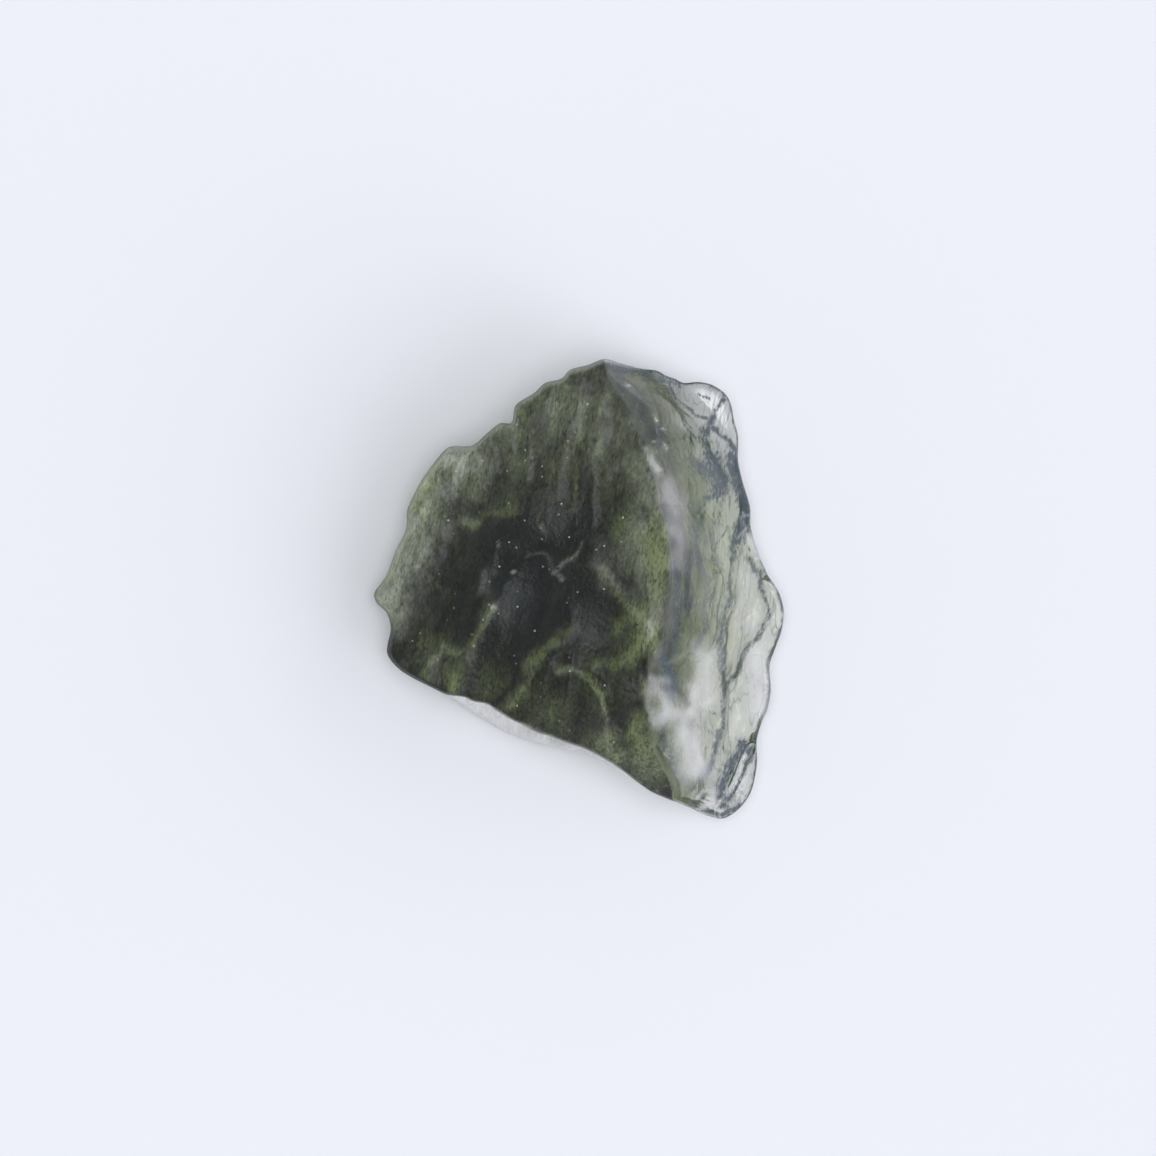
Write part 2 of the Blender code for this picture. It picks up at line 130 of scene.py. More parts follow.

# Marks on the upper face: line in photo pixels, half width in pixels, clearness it tends to, which paints
# see-through light and shade, haze it adds, mostly painted sheen and highlights, and height it adds in
# millimetres. Wide areas come first, fine lines last.
upperMarks = [
    # wide areas of the etched skin: painted shade over the dark middle, painted sheen along the west edge
    # and painted see-through light in the olive zone by the crest
    ([(470, 450), (560, 405), (620, 430)], 62, 0.36, 0.045, 0.0),
    ([(446, 472), (410, 540), (394, 600)], 24, 0.50, 0.19, 0.0),
    ([(500, 535), (560, 545), (520, 600)], 50, 0.05, 0.006, 0.0),
    ([(436, 600), (470, 640), (530, 625)], 36, 0.06, 0.004, 0.0),
    ([(560, 600), (600, 610)], 30, 0.05, 0.008, 0.0),
    ([(430, 655), (500, 690), (600, 735)], 20, 0.30, 0.008, 0.0),
    ([(500, 714), (530, 727), (560, 740), (590, 753), (614, 766)], 3, 0.40, 0.22, 0.0),
    ([(642, 530), (650, 565), (648, 612)], 18, 1.0, 0.08, 0.0),
    ([(640, 462), (646, 515)], 13, 0.46, 0.02, 0.0),
    ([(384, 590), (396, 560)], 12, 0.55, 0.12, 0.0),
    ([(622, 530), (630, 560)], 13, 0.46, 0.0, 0.0),
    ([(628, 624), (630, 652)], 14, 0.56, 0.02, 0.0),
    ([(640, 722), (652, 768)], 15, 0.72, 0.02, 0.0),
    ([(605, 740), (628, 765)], 12, 0.60, 0.03, 0.0),
    ([(641, 678), (645, 704)], 5, 0.66, 0.08, 0.0),
    ([(585, 700), (590, 728)], 15, 0.22, 0.0, 0.0),
    # the north block and its rims
    ([(522, 415), (528, 440)], 8, 0.46, 0.0, 0.0),
    ([(559, 408), (551, 424), (544, 438)], 6, 0.60, 0.03, 0.0),
    ([(480, 470), (477, 500)], 6, 0.50, 0.03, 0.0),
    ([(440, 462), (474, 456)], 10, 0.55, 0.14, 0.0),
    ([(506, 432), (518, 462)], 9, 0.34, 0.03, 0.0),
    ([(602, 412), (600, 455)], 3, 0.60, 0.02, 0.01),
    ([(578, 464), (577, 490), (573, 510)], 3, 0.66, 0.03, 0.01),
    ([(583, 408), (581, 440)], 4, 0.55, 0.02, 0.0),
    ([(543, 412), (546, 446)], 5, 0.20, 0.0, 0.0),
    ([(592, 395), (588, 450)], 6, 0.20, 0.0, 0.0),
    ([(540, 470), (541, 505)], 9, 0.10, 0.0, 0.0),
    ([(582, 455), (584, 500)], 6, 0.12, 0.0, 0.0),
    ([(614, 418), (612, 446)], 5, 0.16, 0.03, 0.0),
    ([(620, 400), (636, 430)], 8, 0.20, 0.0, 0.0),
    ([(612, 470), (604, 492), (598, 508)], 6, 0.22, 0.06, 0.0),
    # bowls and spots in the dark middle: painted see-through glow in the bright bowls, painted sheen as
    # grey veils and painted shade around them
    ([(474, 524), (466, 520)], 5, 0.90, 0.10, 0.02),
    ([(544, 524), (546, 530)], 3, 0.80, 0.06, 0.0),
    ([(478, 518), (512, 508)], 7, 0.44, 0.0, 0.02),
    ([(436, 585), (446, 594)], 6, 0.24, 0.0, 0.0),
    ([(490, 574), (488, 590)], 7, 0.10, 0.04, 0.0),
    ([(510, 548), (522, 556)], 6, 0.08, 0.012, 0.0),
    ([(600, 545), (604, 585)], 9, 0.16, 0.03, 0.0),
    ([(624, 584), (634, 606)], 9, 0.10, 0.0, 0.0),
    ([(636, 586), (640, 600)], 5, 0.16, 0.0, 0.0),
    ([(500, 605), (516, 598)], 8, 0.08, 0.012, 0.0),
    # raised lips of the gutters, bright with painted see-through light, with painted shadow lines and
    # painted shade in the hollows beside them
    ([(501, 612), (490, 638), (474, 664), (467, 692)], 5.0, 0.03, 0.0, 0.0),
    ([(489, 608), (479, 632), (463, 658), (455, 690)], 5.0, 0.84, 0.02, 0.04),
    ([(493, 609), (484, 628)], 2.0, 0.90, 0.05, 0.02),
    ([(560, 622), (537, 640), (518, 660), (514, 684), (500, 700)], 6.0, 0.03, 0.0, 0.0),
    ([(572, 628), (548, 646), (531, 664), (529, 684), (512, 706)], 5.5, 0.80, 0.02, 0.04),
    ([(534, 660), (530, 682)], 2.0, 0.95, 0.05, 0.02),
    ([(426, 676), (432, 658), (446, 648), (460, 650)], 3.6, 0.74, 0.04, 0.03),
    ([(440, 672), (452, 664)], 4.0, 0.36, 0.01, 0.02),
    ([(596, 566), (612, 584), (630, 608), (646, 630)], 5.5, 0.78, 0.03, 0.03),
    ([(602, 570), (622, 596)], 2.5, 0.85, 0.04, 0.02),
    ([(645, 632), (634, 650), (616, 662), (600, 664)], 7.0, 0.66, 0.01, 0.03),
    ([(556, 672), (572, 668), (588, 676), (601, 694), (609, 722), (610, 750)], 3.4, 0.92, 0.06, 0.04),
    ([(566, 684), (584, 700), (594, 724)], 8, 0.10, 0.0, 0.0),
    ([(553, 700), (552, 722)], 4, 0.42, 0.01, 0.02),
    ([(527, 558), (534, 553), (544, 552), (551, 560), (554, 574)], 1.6, 0.28, 0.06, 0.03),
    ([(554, 572), (562, 562), (574, 558), (582, 544)], 1.4, 0.30, 0.10, 0.02),
    ([(608, 714), (636, 702)], 4, 0.02, 0.0, -0.06),
    ([(612, 722), (620, 716)], 7, 0.05, 0.0, -0.02),
    # facet along the north crest: dull olive, with painted shade over its darker band
    ([(642, 380), (668, 420), (662, 474)], 13, 0.72, 0.0, 0.0),
    ([(614, 382), (634, 408), (652, 440)], 13, 0.24, 0.0, 0.0),
    ([(700, 468), (722, 480)], 10, 0.60, 0.04, 0.0),
    # crest: crumbled chips with painted highlights, and painted glints on the skin
    ([(646, 450), (650, 460), (657, 471)], 3.2, 0.9, 0.30, 0.0),
    ([(627, 388), (631, 389)], 1.0, 0.9, 0.45, 0.0),
    ([(652, 415), (656, 421)], 1.1, 0.9, 0.45, 0.0),
    ([(660, 430), (663, 432)], 1.0, 0.9, 0.40, 0.0),
    ([(652, 442), (653, 443)], 1.0, 0.9, 0.40, 0.0),
    ([(661, 447), (664, 452)], 1.4, 0.9, 0.44, 0.0),
    ([(647, 622), (650, 632)], 3.5, 0.9, 0.22, 0.0),
    ([(646, 640), (643, 652)], 3.0, 0.6, 0.08, 0.0),
    ([(564, 386), (568, 389)], 1.6, 0.7, 0.28, 0.0),
    ([(500, 541), (500, 546)], 1.0, 0.5, 0.22, 0.0),
    ([(515, 574), (517, 574)], 1.0, 0.5, 0.30, 0.0),
    ([(558, 574), (560, 580)], 1.4, 0.5, 0.16, 0.0),
    ([(491, 608), (493, 608)], 1.3, 0.5, 0.32, 0.0),
    # painted reflections and highlights of the lamps on the glossy fracture face, painted see-through
    # light on its pale panels, and a chip at the south end with painted highlights
    ([(668, 488), (673, 506), (674, 524)], 14, 0.76, 0.22, 0.0),
    ([(672, 535), (674, 562)], 8, 0.75, 0.10, 0.0),
    ([(650, 678), (662, 680)], 4, 1.0, 0.22, 0.0),
    ([(664, 712), (686, 714)], 11, 1.0, 0.42, 0.0),
    ([(652, 688), (660, 697)], 6, 1.0, 0.24, 0.0),
    ([(690, 688), (694, 708)], 8, 1.0, 0.20, 0.0),
    ([(688, 736), (694, 768)], 13, 1.0, 0.46, 0.0),
    ([(704, 655), (706, 700)], 14, 1.0, 0.32, 0.0),
    ([(652, 616), (654, 650)], 7, 0.85, 0.10, 0.0),
    ([(756, 660), (760, 705)], 12, 1.0, 0.36, 0.0),
    ([(745, 575), (744, 625)], 10, 1.0, 0.20, 0.0),
    ([(706, 540), (708, 610)], 16, 1.0, 0.10, 0.0),
    ([(654, 663), (684, 657)], 1.2, 1.0, 0.08, 0.0),
    ([(730, 520), (750, 514)], 1.1, 0.9, 0.20, 0.0),
    ([(738, 536), (748, 526)], 1.1, 0.9, 0.20, 0.0),
    ([(752, 536), (757, 556)], 4, 1.0, 0.30, 0.0),
    ([(697, 800), (704, 792), (714, 794), (712, 804), (702, 808)], 2.6, 0.9, 0.35, 0.05),
]

# Painted shade: dark bands and lines on the fracture face above the furrows, over the north facet, the
# south tail and the dark middle of the skin: line in photo pixels, half width, strength.
paintedShadeMarks = [
    ([(618, 386), (638, 410), (658, 440)], 10, 0.60),
    ([(606, 366), (646, 375), (680, 384)], 5, 0.80),
    ([(669, 383), (674, 399), (684, 409), (695, 416), (707, 419)], 2.2, 1.0),
    ([(674, 406), (682, 424), (695, 437)], 1.6, 0.9),
    ([(697, 393), (709, 397)], 1.8, 0.9),
    ([(724, 396), (715, 411), (710, 427), (720, 437), (733, 447), (740, 455)], 4, 0.95),
    ([(710, 429), (702, 439), (709, 455), (718, 467), (725, 480), (723, 492)], 7, 0.85),
    ([(718, 488), (704, 500), (697, 511)], 7, 0.66),
    ([(724, 496), (716, 520), (708, 542)], 6, 0.52),
    ([(712, 458), (722, 478), (716, 494)], 8, 0.85),
    ([(731, 456), (740, 488), (746, 518), (738, 539)], 7.5, 0.95),
    ([(742, 510), (736, 530), (733, 556), (728, 580), (730, 596), (724, 614), (718, 640), (720, 664),
      (726, 684)], 4.5, 0.78),
    ([(702, 512), (694, 535), (698, 566), (706, 580), (704, 606), (706, 626), (697, 646)],
     3.6, 0.72),
    ([(692, 520), (686, 550), (690, 590), (686, 625)], 2.6, 0.50),
    ([(712, 520), (716, 560), (712, 600)], 2.5, 0.55),
    ([(748, 557), (758, 575), (765, 598), (769, 613), (758, 634), (749, 645), (742, 658), (733, 675),
      (727, 692), (725, 715), (718, 738), (712, 762)], 3.4, 0.80),
    ([(768, 652), (770, 690), (764, 716), (756, 738)], 3.0, 0.90),
    ([(778, 590), (783, 618), (776, 640)], 2.5, 0.90),
    ([(705, 661), (707, 692)], 1.6, 0.55),
    ([(480, 560), (540, 560), (560, 600), (520, 622)], 36, 0.36),
    ([(505, 588), (530, 610)], 20, 0.62),
    ([(700, 466), (716, 476)], 8, 0.80),
    ([(746, 743), (740, 752), (733, 763), (723, 784), (720, 797)], 6, 0.90),
    ([(751, 756), (741, 779), (730, 799), (723, 807)], 4.5, 0.90),
    ([(742, 744), (750, 750)], 7, 0.95),
    ([(692, 802), (708, 812), (723, 817), (740, 804)], 2.5, 0.90),
    ([(712, 758), (702, 776), (692, 790)], 5, 0.80),
    ([(677, 562), (678, 600), (676, 640), (670, 654)], 7, 0.60),
    ([(664, 658), (668, 694)], 9, 0.95),
    ([(660, 718), (664, 738), (670, 758), (682, 780)], 7, 0.62),
    ([(682, 730), (702, 729), (720, 740)], 1.3, 0.80),
    ([(690, 713), (710, 712), (718, 716)], 1.3, 0.70),
    ([(726, 524), (718, 546), (712, 566)], 1.4, 0.80),
]

# Furrows in the lower face under the flange: line in photo pixels, half width, depth in millimetres.
flangeFurrows = [
    ([(706, 444), (712, 462), (724, 478), (722, 490), (708, 498)], 6, 0.10),
    ([(740, 500), (736, 530), (734, 556), (728, 580), (730, 596), (724, 614), (718, 640), (720, 664),
      (726, 684)], 6, 0.12),
    ([(708, 500), (696, 530), (696, 565), (706, 580), (704, 606), (706, 626), (696, 646),
      (688, 654)], 6, 0.10),
    ([(748, 545), (758, 570), (764, 600), (764, 622), (757, 638), (748, 648), (741, 664), (730, 686),
      (726, 724), (720, 752)], 7, 0.14),
    ([(752, 742), (742, 752), (733, 775), (726, 790)], 6, 0.12),
]


# eased step: 0 below 0, 1 above 1, flat at both ends
def ease(t):
    t = np.clip(t, 0.0, 1.0)
    return t * t * (3.0 - 2.0 * t)


# value between sorted knots, eased from each one to the next
def easedTable(query, knots, values):
    left = np.clip(np.searchsorted(knots, query) - 1, 0, len(knots) - 2)
    share = ease((query - knots[left]) / (knots[left + 1] - knots[left]))
    return values[left] * (1.0 - share) + values[left + 1] * share


# column of the rim table at a bearing, closed at 360 degrees
def aroundRim(bearing, column):
    rows = np.array(stoneShape["rim"], float)
    knots = np.concatenate([rows[:, 0] - 360.0, rows[:, 0], rows[:, 0] + 360.0])
    return easedTable(bearing, knots, np.tile(rows[:, column], 3))


# smooth closed curve through the outline, turned counterclockwise and started due east
def outlineCurve(steps=16):
    p1 = np.array(stoneShape["outline"][::-1])
    p0, p2, p3 = (np.roll(p1, shift, 0) for shift in (1, -1, -2))
    t = np.linspace(0.0, 1.0, steps, endpoint=False)[:, None, None]
    curve = p1 + 0.5 * t * (p2 - p0 + t * (2 * p0 - 5 * p1 + 4 * p2 - p3 + t * (3 * (p1 - p2) + p3 - p0)))
    curve = curve.transpose(1, 0, 2).reshape(-1, 2)
    centre = (curve.min(0) + curve.max(0)) / 2.0
    size = np.array([stoneShape["width"], stoneShape["length"]])
    curve = (curve - centre) * size / np.ptp(curve, axis=0)
    start = int(np.argmin(np.abs(np.arctan2(curve[:, 1], curve[:, 0]))))
    curve = np.roll(curve, -start, 0)
    return np.vstack([curve, curve[:1]])


# outline point at a share of the way round
def outlineAt(share):
    curve = outlineCurve()
    run = np.concatenate([[0.0], np.cumsum(np.hypot(*np.diff(curve, axis=0).T))])
    run /= run[-1]
    return np.interp(share, run, curve[:, 0]), np.interp(share, run, curve[:, 1])


# distance from the straight piece between two points
def fromSegment(x, y, a, b):
    along = np.array(b) - np.array(a)
    share = ((x - a[0]) * along[0] + (y - a[1]) * along[1]) / (along @ along)
    share = np.clip(share, 0.0, 1.0)
    return np.hypot(x - a[0] - share * along[0], y - a[1] - share * along[1])


# coordinates pushed about by a few slow waves, so that cut shapes aren't regular
def wander(x, y, amount):
    shiftX = 0.16 * np.sin(1.5 * y + 0.6 * x) + 0.07 * np.sin(4.1 * y - 2.3 * x + 1.0)
    shiftY = 0.16 * np.sin(1.3 * x - 0.8 * y + 2.0) + 0.07 * np.sin(3.7 * x + 2.9 * y)
    return x + amount * shiftX, y + amount * shiftY


# round-ended trough with a low raised lip
def trough(x, y, start, end, half, depth):
    q = fromSegment(x, y, start, end) / half
    bowl = np.clip(1.0 - q ** 2.5, 0.0, 1.0) ** 1.5
    lip = np.exp(-((q - 1.08) / 0.16) ** 2)
    return depth * (0.15 * lip - bowl)


# distance from a bent line given in photo pixels, in half widths of its mark
def fromMark(x, y, line, half):
    centreX, centreY = photoFrame["stoneCentre"]
    size = photoFrame["pixelSize"]
    points = [((px - centreX) * size, (centreY - py) * size) for px, py in line]
    return np.min([fromSegment(x, y, a, b) for a, b in zip(points, points[1:])], axis=0) / (half * size)


# one seeded number from 0 to 1 for each whole-number cell
def cellChance(i, j, seed):
    wave = np.sin(i * 127.1 + j * 311.7 + seed * 74.7) * 43758.5453
    return wave - np.floor(wave)


# distance to the nearest seeded point, one in each unit cell
def cellDistance(x, y, seed):
    baseI = np.floor(x)
    baseJ = np.floor(y)
    nearest = np.full(np.shape(x), 9.0)
    for stepI in (-1, 0, 1):
        for stepJ in (-1, 0, 1):
            i = baseI + stepI
            j = baseJ + stepJ
            pointX = i + 0.1 + 0.8 * cellChance(i, j, seed)
            pointY = j + 0.1 + 0.8 * cellChance(i, j, seed + 9.0)
            nearest = np.minimum(nearest, np.hypot(x - pointX, y - pointY))
    return nearest


# smooth noise from -1 to 1 on a unit lattice
def waveNoise(x, y, seed):
    i = np.floor(x)
    j = np.floor(y)
    u = ease(x - i)
    v = ease(y - j)
    low = cellChance(i, j, seed) * (1.0 - u) + cellChance(i + 1.0, j, seed) * u
    high = cellChance(i, j + 1.0, seed) * (1.0 - u) + cellChance(i + 1.0, j + 1.0, seed) * u
    return 2.0 * (low * (1.0 - v) + high * v) - 1.0


# sum of noise at doubling scales, each half as strong
def roughNoise(x, y, size, seed, layers=4):
    total = np.zeros_like(x)
    for layer in range(layers):
        scale = 2.0 ** layer / size
        turned = 0.6 * layer
        a = (x * math.cos(turned) - y * math.sin(turned)) * scale
        b = (x * math.sin(turned) + y * math.cos(turned)) * scale
        total += waveNoise(a, b, seed + 11.0 * layer) / 2.0 ** layer
    return total


# signed distance east of the ridge
def eastOfRidge(x, y):
    ridgeY, ridgeX = np.array(stoneShape["ridge"]).T
    return x - easedTable(y, ridgeY, ridgeX)


# upper face: falls away on both sides of the ridge
def upperHeight(x, y):
    across = eastOfRidge(x, y)
    west = np.maximum(-across, 0.0)
    east = np.maximum(across, 0.0)
    crest = stoneShape["ridgeHeight"] - 0.014 * (y - 0.8) ** 2 - 0.07 * np.maximum(-3.0 - y, 0.0) ** 2
    z = crest - 0.25 * west - 0.012 * west ** 2
    z -= (crest - stoneShape["flangeTop"]) * (1.0 - np.exp(-east / 1.5)) + 0.03 * east
    z += ease(west) * (0.10 * np.sin(0.9 * x + 1.3 * y) + 0.07 * np.sin(1.7 * x - 0.8 * y + 1.0))
    z -= 0.05 * ease(east / 0.4) * np.sin(1.9 * y + 0.8 * x)
    bentX, bentY = wander(x, y, 0.6)
    for cut in stoneShape["troughs"]:
        z += trough(bentX, bentY, *cut)
    return z


# lower face: flat on the rest spot, then rising with the distance past its edge
def lowerHeight(x, y):
    spot = stoneShape["restSpot"]
    dx = x - spot["x"]
    dy = y - spot["y"]
    reach = np.maximum(np.hypot(dx, dy), 1e-6)
    bearing = np.arctan2(dy, dx)
    uneven = 1.0 + 0.07 * np.sin(3.0 * bearing + 0.6) + 0.05 * np.sin(5.0 * bearing + 2.0)
    edge = reach * uneven / np.maximum(np.hypot(dx / spot["halfX"], dy / spot["halfY"]), 1e-6)
    past = np.maximum(reach - edge, 0.0)
    east = dx / reach
    north = dy / reach
    slope = 0.15 + 0.30 * np.maximum(north, 0.0) ** 2 + 0.05 * np.maximum(-east, 0.0)
    z = slope * past
    carve = 0.10 * np.sin(1.4 * x + 0.9 * y + 0.5) + 0.07 * np.sin(1.1 * x - 1.8 * y)
    bentX, bentY = wander(x, y, 1.0)
    for cut in stoneShape["lowerTroughs"]:
        carve -= trough(bentX, bentY, *cut)
    ragged = np.maximum(1.0 + 0.45 * roughNoise(x, y, 0.7, 31.0), 0.35)
    strayX, strayY = strayed(x, y)
    for line, half, depth in flangeFurrows:
        gap = fromMark(strayX, strayY, line, half) / ragged
        carve += depth * np.clip(1.0 - gap, 0.0, 1.0) ** 1.1
    carve += 0.05 * roughNoise(x, y, 0.9, 47.0)
    return z + np.maximum(carve, -0.6 * z) * ease(past)


# etched bowls, stretched along the grain, as a change of height
def etchedCells(x, y, seed):
    grain = math.radians(skinRelief["grainBearing"])
    size = skinRelief["cellSize"]
    along = (x * math.cos(grain) + y * math.sin(grain)) / (size * skinRelief["cellStretch"])
    across = (y * math.cos(grain) - x * math.sin(grain)) / size
    large = cellDistance(along, across, seed)
    small = cellDistance(along * 2.3, across * 2.3, seed + 3.0)
    return skinRelief["cellDepth"] * (large ** 2 - 0.25 + 0.4 * (small ** 2 - 0.25))


# coordinates that stray a little, so that marks have ragged edges
def strayed(x, y):
    warp = skinRelief["markWarp"]
    return x + warp * roughNoise(x, y, 0.8, 21.0), y + warp * roughNoise(x, y, 0.8, 22.0)


# clearness with painted light and shade, haze with painted sheen, added height and painted shade of the
# upper face: each mark pulls the clearness near its line towards its own, by a bell curve of the distance,
# and adds its haze and height
def upperPaint(x, y, etched):
    clearAndPaintedLight = 1.0 + (skinRelief["plainClear"] - 1.0) * etched
    hazeAndPaintedSheen = np.zeros_like(x)
    lift = np.zeros_like(x)
    bentX, bentY = strayed(x, y)
    ragged = np.maximum(1.0 + 0.4 * roughNoise(x, y, 0.5, 33.0), 0.4)
    for line, half, markClearAndPaintedLight, markHazeAndPaintedSheen, markLift in upperMarks:
        share = np.exp(-(fromMark(bentX, bentY, line, half) / ragged ** min(1.0, 7.0 / half)) ** 2)
        clearAndPaintedLight += share * (markClearAndPaintedLight - clearAndPaintedLight)
        hazeAndPaintedSheen += share * markHazeAndPaintedSheen
        lift += share * markLift
    grain = math.radians(skinRelief["grainBearing"])
    along = x * math.cos(grain) + y * math.sin(grain)
    across = y * math.cos(grain) - x * math.sin(grain)
    streak = roughNoise(along / 2.2, across, 0.45, 61.0) + 0.9 * roughNoise(x, y, 0.5, 65.0)
    clearAndPaintedLight = clearAndPaintedLight * (1.0 + etched * skinRelief["blotch"] * streak)
    hazeAndPaintedSheen = hazeAndPaintedSheen * (1.0 + (0.10 + 0.45 * etched) * roughNoise(along / 2.5, across, 0.3, 63.0))
    paintedShade = np.zeros_like(x)
    for line, half, strength in paintedShadeMarks:
        paintedShade = np.maximum(paintedShade, strength * np.exp(-(fromMark(bentX, bentY, line, half) / ragged) ** 2))
    return np.clip(clearAndPaintedLight, 0.03, 1.0), np.clip(hazeAndPaintedSheen, 0.0, 1.0), lift, paintedShade


# square grid wrapped on the outline: each ring of the square becomes a smaller copy of it. Gives the
# outline point beside each grid point and its share of the way there; rings lie closer near the rim
def wrappedGrid():
    side = np.linspace(-1.0, 1.0, stoneShape["cells"] + 1) + 1e-9
    u, v = np.meshgrid(side, side, indexing="ij")
    wide = np.abs(u) >= np.abs(v)
    turnU = np.pi / 4.0 * v / u + np.where(u < 0.0, np.pi, 0.0)
    turnV = np.pi / 2.0 - np.pi / 4.0 * u / v + np.where(v < 0.0, np.pi, 0.0)
    turn = np.where(wide, turnU, turnV) % (2.0 * np.pi)
    edgeX, edgeY = outlineAt(turn / (2.0 * np.pi))
    r = np.minimum(np.maximum(np.abs(u), np.abs(v)), 1.0)
    return edgeX, edgeY, 0.4 * r + 0.6 * np.sin(np.pi / 2.0 * r)


# height of a rounded rim: a quarter circle from the outline up or down to the face
def roundedTo(face, rim, share):
    q = np.clip(share, 0.0, 1.0)
    return rim + (face - rim) * np.sqrt(1.0 - (1.0 - q) ** 2)


# upper face: height in mm, and how etched, clear (with painted light and shade) and hazy (with painted
# sheen) each point is and how much painted shade it has, with its rims
def upperFace(x, y, inside, bearing, rim):
    shelf = aroundRim(bearing, 4)
    facet = np.exp(-((y - skinRelief["facetY"]) / skinRelief["facetSpread"]) ** 2)
    crest = eastOfRidge(x, y) - skinRelief["facetShift"] * facet
    etched = ease(-crest / 0.12 + 0.5)
    clearAndPaintedLight, hazeAndPaintedSheen, lift, paintedShade = upperPaint(x, y, etched)
    relief = etched * etchedCells(x, y, 1.0) + lift
    face = np.maximum(upperHeight(x, y), rim + 0.2) + ease(inside / 0.5) * relief
    z = roundedTo(face, rim, (inside - shelf) / aroundRim(bearing, 2))
    step = roundedTo(rim + skinRelief["stepRise"], rim, inside / skinRelief["stepReach"])
    z = np.where((shelf > 0.02) & (inside < shelf + 0.4), np.maximum(z, step), z)

    # painted sheen behind the north and west rim, and painted shade along the outline, wider on the
    # south-west
    northWest = ease((190.0 - bearing) / 12.0)
    rimSheen = etched * np.exp(-(inside / skinRelief["rimSheen"]) ** 2) * northWest
    clearAndPaintedLight += rimSheen * (skinRelief["rimSheenClear"] - clearAndPaintedLight)
    hazeAndPaintedSheen += skinRelief["rimSheenHaze"] * rimSheen
    southWest = ease((bearing - 188.0) / 8.0) * ease((300.0 - bearing) / 10.0)
    rimShade = np.exp(-(inside / (skinRelief["rimShade"] * (1.0 + southWest))) ** 2)
    paintedShade = np.maximum(paintedShade, skinRelief["rimShadeStrength"] * rimShade)
    onShelf = ease((step + 0.45 - z) / 0.35) * ease(shelf / 0.1) * ease((shelf + 0.3 - inside) / 0.1)
    clearAndPaintedLight += onShelf * (1.0 - clearAndPaintedLight)
    hazeAndPaintedSheen += onShelf * (skinRelief["shelfHaze"] - hazeAndPaintedSheen)
    etched *= 1.0 - 0.9 * onShelf
    paintedShade *= 1.0 - onShelf
    return z, etched, clearAndPaintedLight, hazeAndPaintedSheen, paintedShade


# lower face: the same values, with even blotches of clearness and haze and no painted shade
def lowerFace(x, y, inside, bearing, rim):
    etched = skinRelief["lowerEtched"] * (1.0 - ease((x - skinRelief["flangeStart"]) / 1.5))
    clearAndPaintedLight = 1.0 - etched * (0.25 + 0.20 * roughNoise(x, y, 1.3, 71.0))
    hazeAndPaintedSheen = etched * (0.22 + 0.12 * roughNoise(x, y, 0.8, 73.0))
    paintedShade = np.zeros_like(x)
    face = np.minimum(lowerHeight(x, y) + ease(inside / 0.5) * etchedCells(x, y, 5.0), rim - 0.15)
    z = np.maximum(roundedTo(face, rim, inside / aroundRim(bearing, 3)), 0.0)
    return z, etched, clearAndPaintedLight, hazeAndPaintedSheen, paintedShade


# points in mm and skin values of one face on the wrapped grid
def faceGrid(heightAndSkin):
    edgeX, edgeY, rho = wrappedGrid()
    x = rho * edgeX
    y = rho * edgeY
    inside = (1.0 - rho) * np.hypot(edgeX, edgeY)
    bearing = np.degrees(np.arctan2(edgeY, edgeX)) % 360.0
    z, *skin = heightAndSkin(x, y, inside, bearing, aroundRim(bearing, 1))
    return np.stack([x, y, z], -1), np.stack(skin, -1)


# both faces as one closed mesh, sharing the vertices along the outline
def stoneMesh():
    count = stoneShape["cells"] + 1
    upper = np.arange(count * count).reshape(count, count)
    edge = np.ones((count, count), bool)
    edge[1:-1, 1:-1] = False
    lower = np.where(edge, upper, 0)
    lower[~edge] = count * count + np.arange((~edge).sum())
    upperPoints, upperSkin = faceGrid(upperFace)
    lowerPoints, lowerSkin = faceGrid(lowerFace)
    points = np.vstack([upperPoints.reshape(-1, 3), lowerPoints[~edge]]) * mm
    skin = np.vstack([upperSkin.reshape(-1, 4), lowerSkin[~edge]])
    quads = []
    for index, order in ((upper, (0, 1, 2, 3)), (lower, (3, 2, 1, 0))):
        corners = (index[:-1, :-1], index[1:, :-1], index[1:, 1:], index[:-1, 1:])
        quads.append(np.stack([corners[k].ravel() for k in order], -1))
    mesh = bpy.data.meshes.new("rawMoldavite")
    mesh.from_pydata(points.tolist(), [], np.vstack(quads).tolist())
    mesh.shade_smooth()
    for column, name in enumerate(("etched", "clearAndPaintedLight", "hazeAndPaintedSheen", "paintedShade")):
        values = np.ascontiguousarray(skin[:, column], dtype=np.float32)
        mesh.attributes.new(name, "FLOAT", "POINT").data.foreach_set("value", values)
    return mesh


# a socket that takes part in arithmetic by adding Math nodes
class Number:
    def __init__(self, nodes, socket):
        self.nodes = nodes
        self.socket = socket

    def __add__(self, other):
        return self.nodes.math("ADD", self, other)

    def __radd__(self, other):
        return self.nodes.math("ADD", other, self)

    def __sub__(self, other):
        return self.nodes.math("SUBTRACT", self, other)

    def __rsub__(self, other):
        return self.nodes.math("SUBTRACT", other, self)

    def __mul__(self, other):
        return self.nodes.math("MULTIPLY", self, other)

    def __rmul__(self, other):
        return self.nodes.math("MULTIPLY", other, self)


# a material's node tree, with one method that adds any node
class NodeSet:
    def __init__(self, tree):
        self.tree = tree

    def add(self, kind, settings=None, **values):
        node = self.tree.nodes.new(kind)
        for name, value in (settings or {}).items():
            setattr(node, name, value)
        for name, value in values.items():
            self.feed(node.inputs[name.replace("_", " ")], value)
        return node

    def feed(self, socket, value):
        if isinstance(value, Number):
            self.tree.links.new(value.socket, socket)
        elif isinstance(value, bpy.types.NodeSocket):
            self.tree.links.new(value, socket)
        else:
            socket.default_value = value

    def math(self, operation, first, second):
        node = self.tree.nodes.new("ShaderNodeMath")
        node.operation = operation
        self.feed(node.inputs[0], first)
        self.feed(node.inputs[1], second)
        return Number(self, node.outputs[0])


